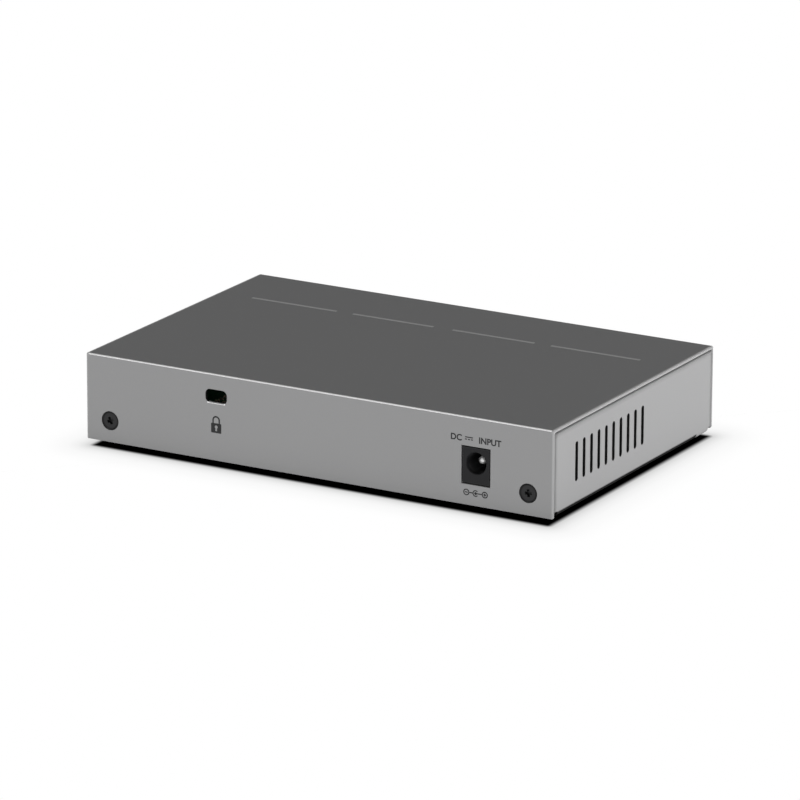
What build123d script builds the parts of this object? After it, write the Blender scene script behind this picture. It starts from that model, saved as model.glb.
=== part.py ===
from build123d import *
import os

# A small eight-port network switch in a folded steel case.
# The origin is on the floor, under the middle of the case. X runs along the width, the sockets face -Y,
# the power jack faces +Y, and Z is up. All sizes are in millimetres.

os.makedirs("parts", exist_ok=True)

# Case
case_width = 158.0
case_depth = 101.0
case_height = 26.6
foot_height = 2.0
foot_radius = 5.5
foot_rim = 0.6
foot_inset = 13.0
cover_sheet = 1.0
cover_bend = 0.2
cover_corner = 0.5
cover_edge_round = 0.45
tray_sheet = 1.0
tray_bend = 0.8
side_seam = 0.2
end_seam = 0.1
side_wall_round = 0.5
front_lift = 0.9
flange_corner = 0.8
end_wall_height = 5.0

# Cover screws, and the tabs of the tray that they screw into
screw_inset = 8.2
screw_height = 6.6
screw_head_radius = 2.65
screw_head_sink = 0.2
screw_head_rim = 0.1
screw_head_gap = 0.3
thread_radius = 1.5
thread_gap = 0.05
screw_tip = 0.3
screw_bevel = 0.4
cross_length = 2.3
cross_width = 0.9
cross_depth = 1.1
cross_turns = {"right": 5, "left": 25}
tab_width = 12.0
tab_height = 11.5
collar_radius = 2.6
collar_length = 1.2

# Dimples of the front wall, which catch holes in the tray's front wall
dimple_radius = 1.0
dimple_depth = 0.8
dimple_gap = 0.2
dimple_inset = 13.0
dimple_height = 3.4

# Vent slots of both side walls
vent_count = 10
vent_pitch = 4.57
vent_width = 1.7
vent_length = 12.0
vent_first = 14.1
vent_height = 13.8

# Lock slot of the rear wall
lock_width = 7.3
lock_height = 4.1
lock_corner = 1.5
lock_rim = 0.15
lock_inset = 45.15
lock_drop = 6.9

# Keyholes of the tray's bottom, for hanging the case on two screws
keyhole_spacing = 90.0
keyhole_radius = 3.75
keyhole_slot_width = 4.0
keyhole_slot_reach = 7.0

# Circuit board on four standoffs
standoff_height = 4.0
standoff_radius = 2.8
shank_radius = 2.1
shank_gap = 0.05
board_thickness = 1.6
board_side_gap = 4.5
board_front_inset = 3.3
board_rear_inset = 4.4
board_corner = 1.5
board_hole_gap = 0.15
hole_side_inset = 5.5
hole_front_inset = 9.5
hole_rear_inset = 6.0
board_screw_head_radius = 2.8
board_screw_head_height = 2.0
board_screw_head_rim = 0.7
board_screw_grip = 3.2
standoff_hole_floor = 0.4

# Socket blocks, each of four RJ45 sockets side by side with the latch up
port_count = 4
block_inset = 19.0
block_margin = 8.0
block_gap = 4.0
block_depth = 16.5
block_height = 13.4
face_sink = 0.2
block_window_gap = 0.25
shield_sheet = 0.3
housing_gap = 0.1
leg_width = 1.6
leg_reach = 2.4
leg_slot_gap = 0.2
leg_inset = 4.0
plug_wall = 2.1
plug_height = 6.9
latch_width = 6.4
latch_height = 2.0
key_width = 3.6
key_height = 1.2
cavity_floor = 1.7
cavity_depth = 12.5
mouth_gap = 0.15

# Contacts of the sockets
contact_count = 8
contact_pitch = 1.02
contact_width = 0.45
contact_sheet = 0.3
contact_front = 2.0
contact_tip_rise = 2.2
contact_tip_setback = 3.2
tail_slot_depth = 2.0
tail_slot_margin = 0.4

# Light pipes over the sockets, and the LED chips under them
pipe_width = 2.4
pipe_height = 2.0
pipe_inset = 1.75
pipe_lift = 9.7
pipe_gap = 0.1
pipe_back_gap = 0.2
pipe_bevel = 1.4
led_chip_height = 0.8

# Two status LEDs in a holder beside the sockets
status_gap = 7.0
status_led_radius = 1.5
status_led_low = 3.0
status_led_pitch = 4.8
status_led_dome = 1.2
status_hole_gap = 0.15
holder_width = 5.0
holder_depth = 7.0
holder_top = 2.6
holder_setback = 0.2
holder_floor = 1.5

# DC jack
jack_width = 8.8
jack_height = 10.8
jack_depth = 14.2
jack_face_depth = 3.3
jack_inset = 25.4
jack_window_gap = 0.42
jack_bore_radius = 3.25
jack_bore_bevel = 0.2
jack_bore_height = 6.2
jack_back_wall = 2.2
jack_pin_radius = 1.25
jack_pin_sink = 3.2
jack_pin_tip = 1.1
jack_neck_radius = 0.7
jack_neck_gap = 0.05
jack_blade_sheet = 0.4
jack_blade_width = 3.0
jack_blade_reach = 1.2
jack_spring_width = 2.0
jack_spring_gap = 0.15
jack_spring_front = 4.5
jack_spring_drop = 0.8

# Magnetics modules behind the sockets, one for each pair
magnetics_side_gap = 3.0
magnetics_depth = 14.0
magnetics_height = 5.6
magnetics_gap = 1.6
lead_reach = 1.6
lead_knee = 0.7
lead_sheet = 0.25
lead_width = 0.6
lead_margin = 1.5
lead_count = 12
lead_height = 2.2

# Switch chip with its heatsink
switch_x = 6.0
switch_gap = 5.0
switch_size = 14.0
switch_height = 1.2
pad_height = 0.5
heatsink_size = 24.0
heatsink_base = 1.8
heatsink_fin_height = 6.5
heatsink_fin_width = 1.2
heatsink_fin_count = 7

# Smaller parts of the board, and the bevel of a block's top rim as a share of its height
bevel_share = 0.08
poe_size = 9.0
poe_height = 0.9
poe_inset = 38.5
diode_length = 4.4
diode_width = 2.6
diode_height = 2.3
diode_gap = 3.0
crystal_length = 11.2
crystal_width = 4.7
crystal_height = 3.5
crystal_offset = 24.0
crystal_flange = 0.4
flash_length = 5.3
flash_width = 5.3
flash_height = 1.8
flash_offset = 22.0
capacitor_count = 3
capacitor_radius = 5.0
capacitor_height = 16.0
capacitor_pitch = 12.0
capacitor_rear_inset = 9.0
capacitor_jack_gap = 8.0
capacitor_bevel = 0.5
groove_height = 2.4
groove_radius = 0.5
inductor_count = 2
inductor_size = 10.0
inductor_height = 6.0
inductor_corner = 1.6
inductor_pitch = 14.0
choke_length = 10.0
choke_width = 8.0
choke_height = 7.0
fuse_length = 6.1
fuse_width = 2.6
input_gap = 2.5
regulator_length = 4.9
regulator_width = 3.9
regulator_height = 1.6
chip_part_length = 1.6
chip_part_width = 0.8
chip_part_height = 0.5
chip_part_pitch = 2.6
chip_part_inset = 24.0
chip_part_row_count = 8
chip_part_column_count = 4

# Places worked out from the sizes
half_width = case_width / 2
half_depth = case_depth / 2
base_z = foot_height
top_z = base_z + case_height
tray_outer_bend = tray_bend + tray_sheet
end_wall_y = half_depth - cover_sheet
bottom_y = end_wall_y - tray_outer_bend
side_end_y = end_wall_y - end_seam
side_top_z = top_z - cover_sheet - side_seam
end_wall_x = half_width - tray_outer_bend
floor_z = base_z + tray_sheet
board_z = floor_z + standoff_height
board_top = board_z + board_thickness
screw_x = half_width - screw_inset
screw_z = base_z + screw_height
board_half_width = half_width - tray_sheet - board_side_gap
board_front = -half_depth + board_front_inset
board_rear = half_depth - board_rear_inset
board_holes = [
    (side * (board_half_width - hole_side_inset), y)
    for side in (-1, 1)
    for y in (board_front + hole_front_inset, board_rear - hole_rear_inset)
]
block_width = half_width - block_inset - block_gap / 2
port_pitch = (block_width - 2 * block_margin) / (port_count - 1)
plug_width = port_pitch - plug_wall
pipe_offset = port_pitch / 2 - pipe_inset
block_front = -half_depth + face_sink
block_rear = block_front + block_depth
block_centres = {"left": -(block_width + block_gap) / 2, "right": (block_width + block_gap) / 2}
housing_front = block_front + shield_sheet + housing_gap
housing_rear = block_rear - shield_sheet - housing_gap
housing_width = block_width - 2 * (shield_sheet + housing_gap)
housing_height = block_height - shield_sheet - housing_gap
cavity_z = board_top + cavity_floor
cavity_rear = housing_front + cavity_depth
pipe_z = board_top + pipe_lift
pipe_rear = block_rear + pipe_back_gap + pipe_height
status_x = -block_width - block_gap / 2 - status_gap
status_heights = [board_top + status_led_low, board_top + status_led_low + status_led_pitch]
jack_x = -half_width + jack_inset
jack_front = half_depth - face_sink
jack_rear = jack_front - jack_depth
jack_z = board_top + jack_bore_height
jack_floor = jack_rear + jack_back_wall
magnetics_width = port_pitch * port_count / 2 - magnetics_side_gap
magnetics_front = pipe_rear + magnetics_gap + lead_reach
magnetics_rear = magnetics_front + magnetics_depth
lead_pitch = (magnetics_width - 2 * lead_margin) / (lead_count - 1)
surge_y = magnetics_rear + lead_reach + diode_gap
switch_y = surge_y + diode_width / 2 + switch_gap + heatsink_size / 2


def leg_places(block_x):
    """Middles of the four legs of one block's shield."""
    return [
        (block_x + side * (block_width - shield_sheet) / 2, y)
        for side in (-1, 1)
        for y in (block_front + leg_inset, block_rear - leg_inset)
    ]


def port_places(block_x):
    """Middles of one block's sockets along X."""
    first = block_x - (port_count - 1) * port_pitch / 2
    return [first + number * port_pitch for number in range(port_count)]


def save(part, name):
    """Names a finished piece and writes it."""
    part.label = name
    export_step(part, f"parts/{name}.step")


# Cover: front wall, top and rear wall from one sheet
with BuildPart() as top_cover:
    with BuildSketch(Plane.YZ.offset(-half_width)) as cover_section:
        with Locations((0, base_z)):
            Rectangle(case_depth, case_height, align=(Align.CENTER, Align.MIN))
        fillet(cover_section.vertices().group_by(Axis.Y)[-1], cover_corner)
    extrude(amount=case_width)
    with BuildSketch(Plane.YZ.offset(-half_width)) as cover_hollow:
        with Locations((0, base_z)):
            Rectangle(2 * end_wall_y, case_height - cover_sheet, align=(Align.CENTER, Align.MIN))
        fillet(cover_hollow.vertices().group_by(Axis.Y)[-1], cover_bend)
    extrude(amount=case_width, mode=Mode.SUBTRACT)
    # The front wall stops above the tray's bend, with rounded corners, and has the socket windows
    with BuildSketch(Plane.XZ.offset(half_depth)):
        with Locations((0, base_z)):
            Rectangle(case_width, front_lift, align=(Align.CENTER, Align.MIN))
        with Locations(*[(x, board_top + block_height / 2) for x in block_centres.values()]):
            Rectangle(block_width + 2 * block_window_gap, block_height + 2 * block_window_gap)
        with Locations(*[(status_x, z) for z in status_heights]):
            Circle(status_led_radius + status_hole_gap)
    extrude(amount=-cover_sheet, mode=Mode.SUBTRACT)
    fillet(top_cover.edges().filter_by(Axis.Y).group_by(Axis.Z)[1], flange_corner)
    # Dimples pressed into the front wall from outside
    with BuildSketch(Plane.XZ.offset(half_depth - cover_sheet)):
        with Locations(*[(side * (half_width - dimple_inset), base_z + dimple_height) for side in (-1, 1)]):
            Circle(dimple_radius)
    extrude(amount=-dimple_depth)
    with BuildSketch(Plane.XZ.offset(half_depth)):
        with Locations(*[(side * (half_width - dimple_inset), base_z + dimple_height) for side in (-1, 1)]):
            Circle(dimple_radius)
    extrude(amount=-dimple_depth, mode=Mode.SUBTRACT)
    # The rear wall has the jack's window and the lock slot
    with BuildSketch(Plane.XZ.offset(-half_depth)):
        with Locations((jack_x, board_top + jack_height / 2)):
            Rectangle(jack_width + 2 * jack_window_gap, jack_height + 2 * jack_window_gap)
        with Locations((half_width - lock_inset, top_z - lock_drop)):
            RectangleRounded(lock_width, lock_height, lock_corner)
    extrude(amount=cover_sheet, mode=Mode.SUBTRACT)
    rear_face = top_cover.faces().sort_by(Axis.Y)[-1]
    fillet(rear_face.inner_wires().sort_by(Axis.X)[-1].edges(), lock_rim)
    # Countersinks for the two screws, straight as far as the rim of the head
    with BuildSketch(Plane.XZ.offset(-half_depth)):
        with Locations(*[(side * screw_x, screw_z) for side in (-1, 1)]):
            Circle(screw_head_radius + screw_head_gap)
    extrude(amount=screw_head_sink + screw_head_rim, mode=Mode.SUBTRACT)
    with Locations(*[Plane((side * screw_x, end_wall_y, screw_z), z_dir=(0, 1, 0)) for side in (-1, 1)]):
        Cone(
            thread_radius + screw_head_gap,
            screw_head_radius + screw_head_gap,
            cover_sheet - screw_head_sink - screw_head_rim,
            align=(Align.CENTER, Align.CENTER, Align.MIN),
            mode=Mode.SUBTRACT,
        )
    # The cut ends of the sheet are deburred
    cut_ends = top_cover.faces().sort_by(Axis.X)
    fillet(cut_ends[0].edges() + cut_ends[-1].edges(), cover_edge_round)
save(top_cover.part, "top_cover")

# Tray: bottom and side walls as one channel, low end walls as another, from one sheet
with BuildPart() as base_tray:
    with BuildSketch(Plane.XZ.offset(-bottom_y)) as tray_section:
        with Locations((0, base_z)):
            Rectangle(case_width, side_top_z - base_z, align=(Align.CENTER, Align.MIN))
        fillet(tray_section.vertices().group_by(Axis.Y)[0], tray_outer_bend)
    extrude(amount=2 * bottom_y)
    with BuildSketch(Plane.XZ.offset(-bottom_y)) as tray_hollow:
        with Locations((0, floor_z)):
            Rectangle(case_width - 2 * tray_sheet, side_top_z - floor_z, align=(Align.CENTER, Align.MIN))
        fillet(tray_hollow.vertices().group_by(Axis.Y)[0], tray_bend)
    extrude(amount=2 * bottom_y, mode=Mode.SUBTRACT)
    with BuildSketch(Plane.YZ.offset(-end_wall_x)) as end_walls:
        with Locations((0, base_z)):
            Rectangle(2 * end_wall_y, end_wall_height, align=(Align.CENTER, Align.MIN))
        fillet(end_walls.vertices().group_by(Axis.Y)[0], tray_outer_bend)
        with Locations((0, floor_z)):
            RectangleRounded(
                2 * (end_wall_y - tray_sheet),
                2 * end_wall_height,
                tray_bend,
                align=(Align.CENTER, Align.MIN),
                mode=Mode.SUBTRACT,
            )
    extrude(amount=2 * end_wall_x)
    # The side walls run on past the bend reliefs at the four bottom corners
    with BuildSketch(Plane.XY.offset(base_z + tray_outer_bend)):
        with Locations(*[(side * (half_width - tray_sheet / 2), 0) for side in (-1, 1)]):
            Rectangle(tray_sheet, 2 * side_end_y)
    extrude(amount=side_top_z - base_z - tray_outer_bend)
    upper_edges = base_tray.edges().filter_by(Axis.Y).group_by(Axis.Z)[-1].sort_by(Axis.X)
    end_edges = base_tray.edges().filter_by(Axis.Z).group_by(Axis.X)
    fillet([upper_edges[0], upper_edges[-1], *end_edges[0], *end_edges[-1]], side_wall_round)
    # Tabs behind the rear wall, each with a collar for the thread
    with BuildSketch(Plane.XZ.offset(-end_wall_y)):
        with Locations(*[(side * screw_x, base_z + tray_outer_bend) for side in (-1, 1)]):
            Rectangle(tab_width, tab_height - tray_outer_bend, align=(Align.CENTER, Align.MIN))
    extrude(amount=tray_sheet)
    with BuildSketch(Plane.XZ.offset(-(end_wall_y - tray_sheet))):
        with Locations(*[(side * screw_x, screw_z) for side in (-1, 1)]):
            Circle(collar_radius)
    extrude(amount=collar_length)
    with BuildSketch(Plane.XZ.offset(-end_wall_y)):
        with Locations(*[(side * screw_x, screw_z) for side in (-1, 1)]):
            Circle(thread_radius + thread_gap)
    extrude(amount=tray_sheet + collar_length, mode=Mode.SUBTRACT)
    # Vent slots, cut straight through both side walls
    with BuildSketch(Plane.YZ.offset(-half_width)):
        with Locations(
            *[(half_depth - vent_first - number * vent_pitch, base_z + vent_height) for number in range(vent_count)]
        ):
            SlotOverall(vent_length, vent_width, rotation=90)
    extrude(amount=case_width, mode=Mode.SUBTRACT)
    # Holes of the front end wall for the cover's dimples
    with BuildSketch(Plane.XZ.offset(end_wall_y)):
        with Locations(*[(side * (half_width - dimple_inset), base_z + dimple_height) for side in (-1, 1)]):
            Circle(dimple_radius + dimple_gap)
    extrude(amount=-tray_sheet, mode=Mode.SUBTRACT)
    # Keyholes, and the holes that the standoffs are pressed into
    with BuildSketch(Plane.XY.offset(base_z)):
        with Locations(*[(side * keyhole_spacing / 2, 0) for side in (-1, 1)]):
            Circle(keyhole_radius)
        with Locations(*[(side * keyhole_spacing / 2, keyhole_slot_reach / 2) for side in (-1, 1)]):
            SlotCenterToCenter(keyhole_slot_reach, keyhole_slot_width, rotation=90)
        with Locations(*board_holes):
            Circle(shank_radius + shank_gap)
    extrude(amount=tray_sheet, mode=Mode.SUBTRACT)
save(base_tray.part, "base_tray")

# Countersunk screws that hold the cover's rear wall to the tray's tabs
for side_name, side in (("right", -1), ("left", 1)):
    screw_plane = Plane((side * screw_x, half_depth - screw_head_sink, screw_z), z_dir=(0, 1, 0))
    head_bottom = cover_sheet - screw_head_sink
    screw_end = cover_sheet + tray_sheet + collar_length + screw_tip - screw_head_sink
    with BuildPart() as cover_screw:
        with BuildSketch(Plane(screw_plane.origin, x_dir=(1, 0, 0), z_dir=(0, 0, 1))):
            with BuildLine():
                Polyline(
                    (0, 0),
                    (screw_head_radius, 0),
                    (screw_head_radius, -screw_head_rim),
                    (thread_radius, -head_bottom),
                    (thread_radius, -screw_end + screw_bevel),
                    (thread_radius - screw_bevel, -screw_end),
                    (0, -screw_end),
                    close=True,
                )
            make_face()
        revolve(axis=Axis(screw_plane.origin, (0, 1, 0)))
        with BuildSketch(screw_plane):
            Rectangle(cross_length, cross_width, rotation=cross_turns[side_name])
            Rectangle(cross_width, cross_length, rotation=cross_turns[side_name])
        extrude(amount=-cross_depth, mode=Mode.SUBTRACT)
    save(cover_screw.part, f"cover_screw_{side_name}")

# Rubber feet under the tray, each with a rounded lower rim
for foot_name, foot_x, foot_y in (
    ("front_left", -1, -1),
    ("front_right", 1, -1),
    ("rear_left", -1, 1),
    ("rear_right", 1, 1),
):
    with BuildPart() as foot:
        with BuildSketch():
            with Locations((foot_x * (half_width - foot_inset), foot_y * (half_depth - foot_inset))):
                Circle(foot_radius)
        extrude(amount=foot_height)
        fillet(foot.edges().group_by(Axis.Z)[0], foot_rim)
    save(foot.part, f"foot_{foot_name}")

# Circuit board, with slots for the legs of the shields and the blades of the jack
blade_y = jack_rear - jack_blade_sheet / 2
spring_y = (jack_front - jack_spring_front + jack_floor) / 2
with BuildPart() as circuit_board:
    with BuildSketch(Plane.XY.offset(board_z)):
        with Locations((0, (board_front + board_rear) / 2)):
            RectangleRounded(2 * board_half_width, board_rear - board_front, board_corner)
        with Locations(*board_holes):
            Circle(thread_radius + board_hole_gap, mode=Mode.SUBTRACT)
        for block_centre in block_centres.values():
            with Locations(*leg_places(block_centre)):
                Rectangle(shield_sheet + 2 * leg_slot_gap, leg_width + 2 * leg_slot_gap, mode=Mode.SUBTRACT)
        with Locations((jack_x, blade_y)):
            Rectangle(
                jack_blade_width + 2 * leg_slot_gap, jack_blade_sheet + 2 * leg_slot_gap, mode=Mode.SUBTRACT
            )
        with Locations((jack_x, spring_y)):
            Rectangle(
                jack_spring_width + 2 * leg_slot_gap, jack_blade_sheet + 2 * leg_slot_gap, mode=Mode.SUBTRACT
            )
    extrude(amount=board_thickness)
save(circuit_board.part, "circuit_board")

# Standoffs, pressed into the tray's bottom
with BuildPart() as board_standoffs:
    with BuildSketch(Plane.XY.offset(base_z)):
        with Locations(*board_holes):
            Circle(shank_radius)
    extrude(amount=tray_sheet)
    with BuildSketch(Plane.XY.offset(floor_z)):
        with Locations(*board_holes):
            Circle(standoff_radius)
    extrude(amount=standoff_height)
    with BuildSketch(Plane.XY.offset(board_z)):
        with Locations(*board_holes):
            Circle(thread_radius + thread_gap)
    extrude(amount=-(standoff_height - standoff_hole_floor), mode=Mode.SUBTRACT)
save(board_standoffs.part, "board_standoffs")

# Pan-head screws of the board
with BuildPart() as board_screws:
    with BuildSketch(Plane.XY.offset(board_top)):
        with Locations(*board_holes):
            Circle(board_screw_head_radius)
    extrude(amount=board_screw_head_height)
    fillet(board_screws.edges().group_by(Axis.Z)[-1], board_screw_head_rim)
    with BuildSketch(Plane.XY.offset(board_top)):
        with Locations(*board_holes):
            Circle(thread_radius)
    extrude(amount=-(board_thickness + board_screw_grip))
    with BuildSketch(Plane.XY.offset(board_top + board_screw_head_height)):
        with Locations(*board_holes):
            Rectangle(cross_length, cross_width)
            Rectangle(cross_width, cross_length)
    extrude(amount=-cross_depth, mode=Mode.SUBTRACT)
save(board_screws.part, "board_screws")


def socket_outline(x, gap):
    """Outline of one socket's mouth: plug body below, latch notch and key notch above."""
    steps = [
        (plug_width, 0, plug_height),
        (latch_width, plug_height, latch_height),
        (key_width, plug_height + latch_height, key_height),
    ]
    for width, bottom, height in steps:
        with Locations((x, cavity_z + bottom - gap)):
            Rectangle(width + 2 * gap, height + 2 * gap, align=(Align.CENTER, Align.MIN))


def pipe_places(block_x):
    """Middles of the light pipes along X, two over each socket."""
    return [x + side * pipe_offset for x in port_places(block_x) for side in (-1, 1)]


def make_shield(block_x, name):
    """Thin metal shell round one block, open below, with legs through the board."""
    with BuildPart() as shield:
        with BuildSketch(Plane.XY.offset(board_top)):
            with Locations((block_x, (block_front + block_rear) / 2)):
                Rectangle(block_width, block_depth)
        extrude(amount=block_height)
        with BuildSketch(Plane.XY.offset(board_top)):
            with Locations((block_x, (block_front + block_rear) / 2)):
                Rectangle(block_width - 2 * shield_sheet, block_depth - 2 * shield_sheet)
        extrude(amount=block_height - shield_sheet, mode=Mode.SUBTRACT)
        with BuildSketch(Plane.XZ.offset(-block_front)):
            for x in port_places(block_x):
                socket_outline(x, mouth_gap)
        extrude(amount=-shield_sheet, mode=Mode.SUBTRACT)
        with BuildSketch(Plane.XZ.offset(-block_front)):
            with Locations(*[(x, pipe_z + pipe_height / 2) for x in pipe_places(block_x)]):
                Rectangle(pipe_width + 2 * pipe_gap, pipe_height + 2 * pipe_gap)
        extrude(amount=-block_depth, mode=Mode.SUBTRACT)
        with BuildSketch(Plane.XY.offset(board_top)):
            with Locations(*leg_places(block_x)):
                Rectangle(shield_sheet, leg_width)
        extrude(amount=-leg_reach)
    save(shield.part, name)


def make_housing(block_x, name):
    """Moulded body of one block, with its sockets and the channels of its light pipes."""
    with BuildPart() as housing:
        with BuildSketch(Plane.XY.offset(board_top)):
            with Locations((block_x, (housing_front + housing_rear) / 2)):
                Rectangle(housing_width, housing_rear - housing_front)
        extrude(amount=housing_height)
        with BuildSketch(Plane.XZ.offset(-housing_front)):
            for x in port_places(block_x):
                socket_outline(x, 0)
        extrude(amount=-cavity_depth, mode=Mode.SUBTRACT)
        with BuildSketch(Plane.XZ.offset(-housing_front)):
            with Locations(*[(x, pipe_z + pipe_height / 2) for x in pipe_places(block_x)]):
                Rectangle(pipe_width + 2 * pipe_gap, pipe_height + 2 * pipe_gap)
        extrude(amount=-block_depth, mode=Mode.SUBTRACT)
        # Slots in the floor of the sockets, for the tails of the contacts
        with BuildSketch(Plane.XY.offset(board_top)):
            with Locations(*[(x, cavity_rear - tail_slot_depth / 2) for x in port_places(block_x)]):
                Rectangle(contact_count * contact_pitch + tail_slot_margin, tail_slot_depth)
        extrude(amount=cavity_floor, mode=Mode.SUBTRACT)
    save(housing.part, name)


def make_contacts(block_x, name):
    """Sprung contacts: each stands on the board, runs forward on the socket's floor and folds back."""
    tail_y = cavity_rear - tail_slot_depth / 2 + contact_sheet / 2
    front_y = housing_front + contact_front
    tip_y = cavity_rear - contact_tip_setback
    run_top = cavity_z + contact_sheet
    tip_z = cavity_z + contact_tip_rise
    places = [
        x + (number - (contact_count - 1) / 2) * contact_pitch
        for x in port_places(block_x)
        for number in range(contact_count)
    ]
    with BuildPart() as contacts:
        with BuildSketch(*[Plane.YZ.offset(x - contact_width / 2) for x in places]):
            with BuildLine():
                Polyline(
                    (tail_y, board_top),
                    (tail_y, run_top),
                    (front_y + 2 * contact_sheet, run_top),
                    (tip_y, tip_z - contact_sheet),
                    (tip_y, tip_z),
                    (front_y, run_top + contact_sheet),
                    (front_y, cavity_z),
                    (tail_y - contact_sheet, cavity_z),
                    (tail_y - contact_sheet, board_top),
                    close=True,
                )
            make_face()
        extrude(amount=contact_width, dir=(1, 0, 0))
    save(contacts.part, name)


def make_light_pipes(block_x, name):
    """Clear bars from the front of one block to its back, each bent down to an LED chip."""
    pipe_top = pipe_z + pipe_height
    drop_front = pipe_rear - pipe_height
    with BuildPart() as pipes:
        with BuildSketch(*[Plane.YZ.offset(x - pipe_width / 2) for x in pipe_places(block_x)]):
            with BuildLine():
                Polyline(
                    (block_front, pipe_z),
                    (drop_front, pipe_z),
                    (drop_front, board_top + led_chip_height),
                    (pipe_rear, board_top + led_chip_height),
                    (pipe_rear, pipe_top - pipe_bevel),
                    (pipe_rear - pipe_bevel, pipe_top),
                    (block_front, pipe_top),
                    close=True,
                )
            make_face()
        extrude(amount=pipe_width, dir=(1, 0, 0))
    save(pipes.part, name)


# Socket blocks
for block_name, block_centre in block_centres.items():
    make_shield(block_centre, f"port_shield_{block_name}")
    make_housing(block_centre, f"port_housing_{block_name}")
    make_contacts(block_centre, f"port_contacts_{block_name}")
    make_light_pipes(block_centre, f"link_light_pipes_{block_name}")

# LED chips under the light pipes
with BuildPart() as link_led_chips:
    with BuildSketch(Plane.XY.offset(board_top)):
        for block_centre in block_centres.values():
            with Locations(*[(x, pipe_rear - pipe_height / 2) for x in pipe_places(block_centre)]):
                Rectangle(chip_part_width, chip_part_length)
    extrude(amount=led_chip_height)
save(link_led_chips.part, "link_led_chips")

# Holder of the two status LEDs
holder_front = -end_wall_y + holder_setback
with BuildPart() as status_led_holder:
    with BuildSketch(Plane.XY.offset(board_top)):
        with Locations((status_x, holder_front)):
            Rectangle(holder_width, holder_depth, align=(Align.CENTER, Align.MIN))
    extrude(amount=status_led_low + status_led_pitch + holder_top)
    with BuildSketch(Plane.XZ.offset(-holder_front)):
        with Locations(*[(status_x, z) for z in status_heights]):
            Circle(status_led_radius + thread_gap)
    extrude(amount=-(holder_depth - holder_floor), mode=Mode.SUBTRACT)
save(status_led_holder.part, "status_led_holder")

# Status LEDs, each with a domed front end inside its hole in the front wall
for led_name, led_z in zip(("power_led", "poe_led"), status_heights):
    led_length = holder_front + holder_depth - holder_floor - block_front
    with BuildPart() as status_led:
        with BuildSketch(Plane.XZ.offset(-block_front - led_length)):
            with Locations((status_x, led_z)):
                Circle(status_led_radius)
        extrude(amount=led_length)
        fillet(status_led.edges().group_by(Axis.Y)[0], status_led_dome)
    save(status_led.part, led_name)

# DC jack body: a square face block, and a barrel with a round top behind it
with BuildPart() as dc_jack_body:
    with BuildSketch(Plane.XZ.offset(-jack_front)):
        with Locations((jack_x, board_top)):
            Rectangle(jack_width, jack_height, align=(Align.CENTER, Align.MIN))
    extrude(amount=jack_face_depth)
    with BuildSketch(Plane.XZ.offset(-(jack_front - jack_face_depth))):
        with Locations((jack_x, board_top)):
            Rectangle(jack_width, jack_bore_height, align=(Align.CENTER, Align.MIN))
        with Locations((jack_x, jack_z)):
            Circle(jack_width / 2)
    extrude(amount=jack_depth - jack_face_depth)
    with BuildSketch(Plane.XZ.offset(-jack_front)):
        with Locations((jack_x, jack_z)):
            Circle(jack_bore_radius)
    extrude(amount=jack_depth - jack_back_wall, mode=Mode.SUBTRACT)
    jack_face = dc_jack_body.faces().sort_by(Axis.Y)[-1]
    chamfer(jack_face.inner_wires().edges(), jack_bore_bevel)
    with BuildSketch(Plane.XZ.offset(-jack_floor)):
        with Locations((jack_x, jack_z)):
            Circle(jack_neck_radius + jack_neck_gap)
    extrude(amount=jack_back_wall, mode=Mode.SUBTRACT)
    # Groove under the bore for the spring contact, and a slot down to the board for its tail
    spring_slot_width = jack_spring_width + 2 * jack_spring_gap
    with BuildSketch(Plane.XZ.offset(-(jack_front - jack_spring_front))):
        with Locations((jack_x, jack_z - jack_bore_radius - jack_spring_drop)):
            Rectangle(spring_slot_width, jack_bore_radius, align=(Align.CENTER, Align.MIN))
    extrude(amount=jack_front - jack_spring_front - jack_floor, mode=Mode.SUBTRACT)
    with BuildSketch(Plane.XY.offset(board_top)):
        with Locations((jack_x, spring_y)):
            Rectangle(spring_slot_width, jack_blade_sheet + 2 * jack_spring_gap)
    extrude(amount=jack_bore_height - jack_bore_radius, mode=Mode.SUBTRACT)
save(dc_jack_body.part, "dc_jack_body")

# Centre pin, with a round tip, and a neck that passes through the jack's back wall
with BuildPart() as dc_jack_pin:
    with BuildSketch(Plane.XZ.offset(-jack_floor)):
        with Locations((jack_x, jack_z)):
            Circle(jack_pin_radius)
    extrude(amount=-(jack_front - jack_pin_sink - jack_floor))
    fillet(dc_jack_pin.edges().group_by(Axis.Y)[-1], jack_pin_tip)
    with BuildSketch(Plane.XZ.offset(-jack_floor)):
        with Locations((jack_x, jack_z)):
            Circle(jack_neck_radius)
    extrude(amount=jack_back_wall)
save(dc_jack_pin.part, "dc_jack_pin")

# Rear blade, from the centre pin down through the board
with BuildPart() as dc_jack_blade:
    with BuildSketch(Plane.XZ.offset(-jack_rear)):
        with Locations((jack_x, board_z - jack_blade_reach)):
            Rectangle(
                jack_blade_width,
                jack_z + jack_blade_width / 2 - board_z + jack_blade_reach,
                align=(Align.CENTER, Align.MIN),
            )
    extrude(amount=jack_blade_sheet)
save(dc_jack_blade.part, "dc_jack_blade")

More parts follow.
